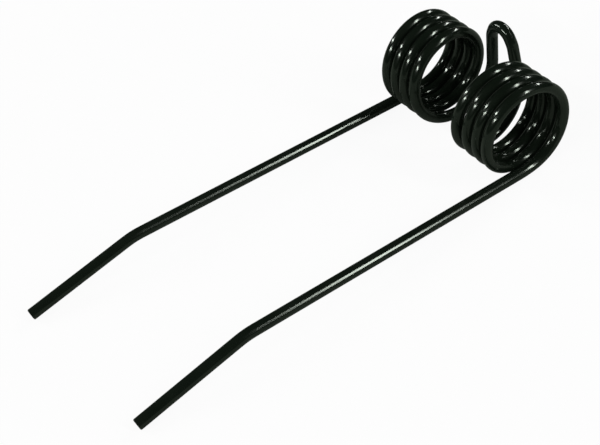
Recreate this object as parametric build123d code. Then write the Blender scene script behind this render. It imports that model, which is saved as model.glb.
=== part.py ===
from build123d import *
from math import asin, atan2, cos, degrees, hypot, pi, radians, sin, sqrt, tan
import os

# Wire, in millimetres
wire_diameter = 9.0

# Coils
coil_bore = 60.0  # clear diameter inside the turns
coil_pitch = 10.6  # along the coils' axis, from one turn to the next
full_turns = 4  # complete turns of each coil, besides its first and last part turns
points_per_turn = 16
tilt_rounds = 6  # repeats that settle the resting tilt

# How the wire climbs at the ends of a coil
entry_lead = 23.0  # steeper climb beside the anchor loop, in millimetres a turn
entry_angle = 360.0  # degrees over which the steep climb eases into the pitch
exit_angle = 90.0  # degrees over which the pitch eases into the leg's splay
exit_ease = 30.0  # length of wire that straightens evenly from the round to the leg

# Anchor loop between the coils
loop_gap = 20.0  # clear gap between its sides, where they meet the coils
loop_lean = 7.1  # degrees towards the legs, from square to them
shoulder_rise = 28.5  # from a coil to the corner where a side turns inwards
crown_rise = 53.0  # from a coil to the corner where the two sides would meet
shoulder_radius = 16.0
crown_radius = 9.8

# Legs
long_leg = 266.0  # coil to knee
short_leg = 254.0
tip_length = 93.0  # knee to the square-cut end
knee_angle = 14.4
knee_radius = 52.0
leg_splay = 0.5  # degrees outwards
edge_break = 0.6  # bevel round each cut end

# Values that follow
wire_radius = wire_diameter / 2
coil_radius = (coil_bore + wire_diameter) / 2
coil_round = 2 * pi * coil_radius
entry_climb = entry_lead / coil_round
exit_climb = tan(radians(leg_splay))
turning = loop_lean + 360 * full_turns + 90
steady_end = turning - exit_angle
round_end = turning - degrees(exit_ease / (2 * coil_radius))
leg_depth = coil_radius + exit_ease**2 / (24 * coil_radius)  # legs below the coils' axis
loop_half = (loop_gap + wire_diameter) / 2


def eased_travel(angle, first_lead, last_lead, span):
    # travel along the axis while the lead changes evenly over a span
    change = (last_lead - first_lead) * angle**2 / (2 * span)
    return (first_lead * angle + change) / 360


def axial_travel(angle):
    # travel along the axis after turning by an angle away from the anchor loop
    travel = eased_travel(min(angle, entry_angle), entry_lead, coil_pitch, entry_angle)
    if angle > entry_angle:
        travel += coil_pitch * (min(angle, steady_end) - entry_angle) / 360
    if angle > steady_end:
        exit_lead = exit_climb * coil_round
        travel += eased_travel(angle - steady_end, coil_pitch, exit_lead, exit_angle)
    return travel


def coil_point(angle):
    turned = radians(loop_lean - angle)
    along = loop_half + axial_travel(angle)
    return Vector(coil_radius * cos(turned), along, coil_radius * sin(turned))


def leg_start():
    # where the wire is straight again, half of the easing past the coil's bottom
    along = loop_half + 2 * axial_travel(turning) - axial_travel(round_end)
    return Vector(-exit_ease / 2, along, -leg_depth)


def coil_path():
    # from the anchor loop down the back, round and round, and out at the bottom
    lean = radians(loop_lean)
    entry_way = Vector(sin(lean), entry_climb, -cos(lean)).normalized()
    exit_way = Vector(-1, exit_climb, 0).normalized()
    steps = round(round_end / 360 * points_per_turn)
    points = [coil_point(round_end * step / steps) for step in range(steps + 1)]
    points.append(leg_start())
    return Spline(*points, tangents=[entry_way, exit_way], tangent_scalars=[1, 1])


def anchor_loop_path():
    # up one side from its coil, over the crown and down the other side
    lean = radians(loop_lean)
    foot = Vector(coil_radius * cos(lean), 0, coil_radius * sin(lean))
    loop_plane = Plane(origin=foot, x_dir=(0, 1, 0), z_dir=(cos(lean), 0, sin(lean)))
    shoulder_half = loop_half - shoulder_rise * entry_climb
    corners = [
        (-loop_half, 0),
        (-shoulder_half, shoulder_rise),
        (0, crown_rise),
        (shoulder_half, shoulder_rise),
        (loop_half, 0),
    ]
    bends = [shoulder_radius, crown_radius, shoulder_radius]
    return loop_plane * FilletPolyline(*corners, radius=bends)


def leg_path(start, straight):
    # level to the knee, then bent down to the tip
    level = Vector(-1, exit_climb, 0).normalized()
    bend = radians(knee_angle)
    falling = level * cos(bend) - Vector(0, 0, sin(bend))
    knee = start + level * (straight - exit_ease / 2)
    return FilletPolyline(start, knee, knee + falling * tip_length, radius=knee_radius)


def wire_path():
    coil = coil_path()
    other_coil = mirror(coil, about=Plane.XZ)
    leg = leg_path(coil @ 1, long_leg)
    other_leg = mirror(leg_path(coil @ 1, short_leg), about=Plane.XZ)
    stretches = [other_leg, other_coil, anchor_loop_path(), coil, leg]
    return Wire([edge for stretch in stretches for edge in stretch.edges()])


def resting_tilt():
    # degrees that bring the short leg's tip level with the lowest point of its root
    bend = radians(knee_angle)
    full_round = tip_length - edge_break
    reach = short_leg + full_round * cos(bend) - wire_radius * sin(bend)
    drop = full_round * sin(bend) + wire_radius * cos(bend)
    tilt = 0
    for _ in range(tilt_rounds):
        bent = sqrt(2 * coil_radius * exit_ease * max(tilt, 0))  # wire not yet straight
        ahead = reach - exit_ease / 2 + bent
        below = drop + bent**3 / (6 * coil_radius * exit_ease)
        tilt = atan2(below, ahead) - asin(wire_radius / hypot(below, ahead))
    return degrees(tilt)


def spring_tine():
    path = wire_path()
    section = Plane(origin=path @ 0, z_dir=path % 0) * Circle(wire_radius)
    wire = sweep(section, path=path)
    cut_ends = wire.faces().filter_by(GeomType.PLANE)
    return Rot(Y=resting_tilt()) * chamfer(cut_ends.edges(), edge_break)


tine = spring_tine()
tine.label = "spring_tine"
os.makedirs("parts", exist_ok=True)
export_step(tine, "parts/spring_tine.step")
box = tine.bounding_box()
print("size", box.size, "lowest", box.min, "volume", tine.volume, "tilt", resting_tilt())
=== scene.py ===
from math import pi, radians, tan

import bpy
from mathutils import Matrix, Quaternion, Vector


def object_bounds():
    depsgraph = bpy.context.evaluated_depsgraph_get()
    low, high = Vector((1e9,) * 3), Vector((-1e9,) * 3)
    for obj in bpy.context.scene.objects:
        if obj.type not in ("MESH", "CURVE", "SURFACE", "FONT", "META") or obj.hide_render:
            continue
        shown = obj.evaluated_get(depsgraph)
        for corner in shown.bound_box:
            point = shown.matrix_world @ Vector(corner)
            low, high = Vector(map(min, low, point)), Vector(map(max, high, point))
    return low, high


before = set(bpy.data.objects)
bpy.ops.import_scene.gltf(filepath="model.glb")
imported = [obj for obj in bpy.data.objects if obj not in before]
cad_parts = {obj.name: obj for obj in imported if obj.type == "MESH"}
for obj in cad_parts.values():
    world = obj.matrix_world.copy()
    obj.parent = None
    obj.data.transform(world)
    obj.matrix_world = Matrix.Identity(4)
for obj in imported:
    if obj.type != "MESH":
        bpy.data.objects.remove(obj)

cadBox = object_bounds()
bpy.ops.object.select_all(action="DESELECT")
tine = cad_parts["spring_tine"]
print("frame loaded:", len(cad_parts), "node")


# Shader maths: a socket that can be added, multiplied and compared in plain expressions

class Field:
    def __init__(self, graph, socket):
        self.graph = graph
        self.socket = socket

    def combine(self, operation, first, second):
        return self.graph.node("Math", {"operation": operation}, [first, second])

    def __add__(self, other):
        return self.combine("ADD", self, other)

    def __mul__(self, other):
        return self.combine("MULTIPLY", self, other)

    def larger(self, other):
        return self.combine("MAXIMUM", self, other)

    __radd__ = __add__
    __rmul__ = __mul__


class Graph:
    def __init__(self, tree):
        self.tree = tree
        tree.nodes.clear()

    # one node of a type, with its settings made first and then its sockets filled
    def node(self, kind, settings=None, inputs=None, output=0):
        made = self.tree.nodes.new("ShaderNode" + kind)
        for name, value in (settings or {}).items():
            if name == "stops":
                for stop, (place, shade) in zip(made.color_ramp.elements, value):
                    stop.position = place
                    stop.color = (shade, shade, shade, 1)
            else:
                setattr(made, name, value)
        pairs = inputs.items() if isinstance(inputs, dict) else enumerate(inputs or [])
        for name, value in pairs:
            socket = made.inputs[name]
            if isinstance(value, Field):
                self.tree.links.new(value.socket, socket)
            elif isinstance(value, tuple) and len(value) == 3 and socket.type == "RGBA":
                socket.default_value = (*value, 1)
            else:
                socket.default_value = value
        return Field(self, made.outputs[output]) if made.outputs else made


def newMaterial(name):
    material = bpy.data.materials.new(name)
    material.use_nodes = True
    return material, Graph(material.node_tree)


# Camera

cameraView = {
    "lens": 75.0,
    "location": (-0.4512, -0.5771, 0.6240),
    "turn": (44.090, 8.603, -35.153),  # degrees about X, Y and Z
}
bpy.ops.object.camera_add(location=cameraView["location"])
camera = bpy.context.object
camera.name = "photoCamera"
camera.rotation_euler = [radians(angle) for angle in cameraView["turn"]]
camera.data.lens = cameraView["lens"]
bpy.context.scene.camera = camera
bpy.context.scene.view_settings.view_transform = "Standard"
print("camera placed")


# Paint: near-black gloss over spring steel, with a touch of green

paint = {
    "dark": (0.0042, 0.0070, 0.0044),
    "light": (0.0070, 0.0104, 0.0070),
    "mottleSize": 0.018,  # metres, as all sizes here
    "mottleDetail": 3.0,
    "mottleBand": (0.35, 0.75),  # part of the noise that turns dark paint to light
    "gloss": 0.14,  # roughness of clean paint
    "dull": 0.185,  # roughness where it was handled
    "dullSize": 0.030,
    "dullDetail": 4.0,
    "dullBand": (0.50, 0.72),
    "legDull": 0.02,  # roughness that the legs have over the coils
    "legStart": (-0.035, -0.075),  # where along X that comes in
    "orangePeelSize": 0.0030,
    "orangePeelDepth": 0.0000003,
    "orangePeelDetail": 1.0,
    "dustSpeckSize": 0.0011,
    "dustSpeckDepth": 0.0000004,
    "dustSpeckDetail": 0.0,
    "dustSpeckBand": (0.70, 0.82),
    "noiseRoughness": 0.55,
    "reflection": 0.5,
    "reflectionTint": (0.90, 1.0, 0.88),
}


def glossPaint(values):
    material, graph = newMaterial("glossBlackPaint")
    place = graph.node("TexCoord", output="Object")

    def noise(pattern):
        return graph.node("TexNoise", None, {
            "Vector": place,
            "Scale": 1 / values[pattern + "Size"],
            "Detail": values[pattern + "Detail"],
            "Roughness": values["noiseRoughness"],
        })

    def patches(pattern):
        low, high = values[pattern + "Band"]
        return graph.node("ValToRGB", {"stops": [(low, 0), (high, 1)]}, [noise(pattern)])

    # sockets 6 and 7 of a Mix node are its two colours, and output 2 the mixed one
    mottle = patches("mottle")
    colour = graph.node("Mix", {"data_type": "RGBA"}, {
        "Factor": mottle, 6: values["dark"], 7: values["light"]}, output=2)
    dull = patches("dull")
    alongX = graph.node("SeparateXYZ", None, [place])
    legStart, legFull = values["legStart"]
    leg = graph.node("MapRange", None, {
        "Value": alongX, "From Min": legStart, "From Max": legFull})
    roughness = values["gloss"] + (values["dull"] - values["gloss"]) * dull
    roughness = roughness + values["legDull"] * leg
    peel = noise("orangePeel")
    specks = patches("dustSpeck")
    relief = values["orangePeelDepth"] * peel + values["dustSpeckDepth"] * specks
    normal = graph.node("Bump", None, {"Strength": 1.0, "Distance": 1.0, "Height": relief})
    shader = graph.node("BsdfPrincipled", None, {
        "Base Color": colour,
        "Roughness": roughness,
        "Normal": normal,
        "Specular IOR Level": values["reflection"],
        "Specular Tint": values["reflectionTint"],
    })
    graph.node("OutputMaterial", None, {"Surface": shader})
    return material


for materialSlot in tine.material_slots:
    materialSlot.material = glossPaint(paint)
print("paint made")


# Floor, and the dark cards that keep the pale room out of the paint's reflections

white = (1.0, 1.0, 1.0)
studio = {
    "floorSize": 24.0,
    "floorShade": (0.80, 0.80, 0.80),
    "floorWhite": 0.93,  # how much of the floor's white is its own
    "roomShade": 0.18,  # the room's light on the tine, where white is 1
    "cardRadius": 9.0,
    "cardSegments": 32,
    "cardRings": 16,
    "cardShade": (0.004, 0.004, 0.004),
    "floorCardShade": (0.22, 0.245, 0.21),
    "floorCardLift": 0.0002,  # over the floor
}
floorLevel = cadBox[0].z


def showingRays(graph):
    # 1 for the camera's rays and for those that a surface reflects or lets through
    cameraRays = graph.node("LightPath")
    outputs = cameraRays.socket.node.outputs
    glossyRays = Field(graph, outputs["Is Glossy Ray"])
    clearRays = Field(graph, outputs["Is Transmission Ray"])
    return cameraRays.larger(glossyRays).larger(clearRays)


def paleSurface(graph, shade, ownWhite):
    # white to the camera and in reflections, and shaded by the object as a floor is
    shown = showingRays(graph)
    diffuse = graph.node("BsdfDiffuse", None, {"Color": shade})
    own = graph.node("Emission", None, {"Color": white, "Strength": 1.0})
    return graph.node("MixShader", None, [shown * ownWhite, diffuse, own])


bpy.ops.mesh.primitive_plane_add(size=studio["floorSize"], location=(0, 0, floorLevel))
floor = bpy.context.object
floor.name = "paleFloor"
floorMaterial, floorGraph = newMaterial("paleFloor")
floorShader = paleSurface(floorGraph, studio["floorShade"], studio["floorWhite"])
floorGraph.node("OutputMaterial", None, {"Surface": floorShader})
floor.data.materials.append(floorMaterial)

world = bpy.data.worlds.new("paleRoom")
world.use_nodes = True
bpy.context.scene.world = world
worldGraph = Graph(world.node_tree)
roomLight = studio["roomShade"] + (1 - studio["roomShade"]) * showingRays(worldGraph)
background = worldGraph.node("Background", None, {"Color": white, "Strength": roomLight})
worldGraph.node("OutputWorld", None, {"Surface": background})

bpy.ops.mesh.primitive_uv_sphere_add(
    radius=studio["cardRadius"], segments=studio["cardSegments"], ring_count=studio["cardRings"])
cards = bpy.context.object
cards.name = "darkCards"
cardMaterial, cardGraph = newMaterial("darkCard")
cardShader = cardGraph.node("Emission", None, {"Color": studio["cardShade"]})
cardGraph.node("OutputMaterial", None, {"Surface": cardShader})
cards.data.materials.append(cardMaterial)
bpy.ops.mesh.primitive_plane_add(
    size=studio["floorSize"], location=(0, 0, floorLevel + studio["floorCardLift"]))
floorCard = bpy.context.object
floorCard.name = "darkFloorCard"
floorCardMaterial, floorCardGraph = newMaterial("darkFloorCard")
floorCardShader = floorCardGraph.node("BsdfDiffuse", None, {"Color": studio["floorCardShade"]})
floorCardGraph.node("OutputMaterial", None, {"Surface": floorCardShader})
floorCard.data.materials.append(floorCardMaterial)
for card in (cards, floorCard):
    card.visible_camera = False
    card.visible_diffuse = False
    card.visible_transmission = False
    card.visible_volume_scatter = False
    card.visible_shadow = False
print("studio built")


# Lamps: strips, narrow along the turns for dots of light and long across the wire for the legs

lampDistance = 8.0
lamps = {  # sizes and roll in degrees, strength as the light that reaches the tine
    "backRight": {
        "towards": (0.854, 0.135, 0.503), "long": 36, "wide": 3, "roll": -16, "strength": 0.85},
    "frontRight": {
        "towards": (0.432, -0.715, 0.549), "long": 38, "wide": 5, "roll": 71, "strength": 1.42},
    "backLeft": {
        "towards": (-0.511, 0.679, 0.527), "long": 38, "wide": 3, "roll": 38, "strength": 1.2},
    "left": {
        "towards": (-0.842, -0.103, 0.530), "long": 38, "wide": 3, "roll": -5, "strength": 1.3},
}
for name, lamp in lamps.items():
    towards = Vector(lamp["towards"]).normalized()
    bpy.ops.object.light_add(type="AREA", location=towards * lampDistance)
    light = bpy.context.object
    light.name = name
    light.data.shape = "ELLIPSE"
    light.data.size = 2 * lampDistance * tan(radians(lamp["long"] / 2))
    light.data.size_y = 2 * lampDistance * tan(radians(lamp["wide"] / 2))
    light.data.energy = lamp["strength"] * pi * lampDistance**2
    aim = (-towards).to_track_quat("-Z", "Y")
    light.rotation_euler = (aim @ Quaternion((0, 0, 1), radians(lamp["roll"]))).to_euler()
print("lamps lit:", len(lamps))
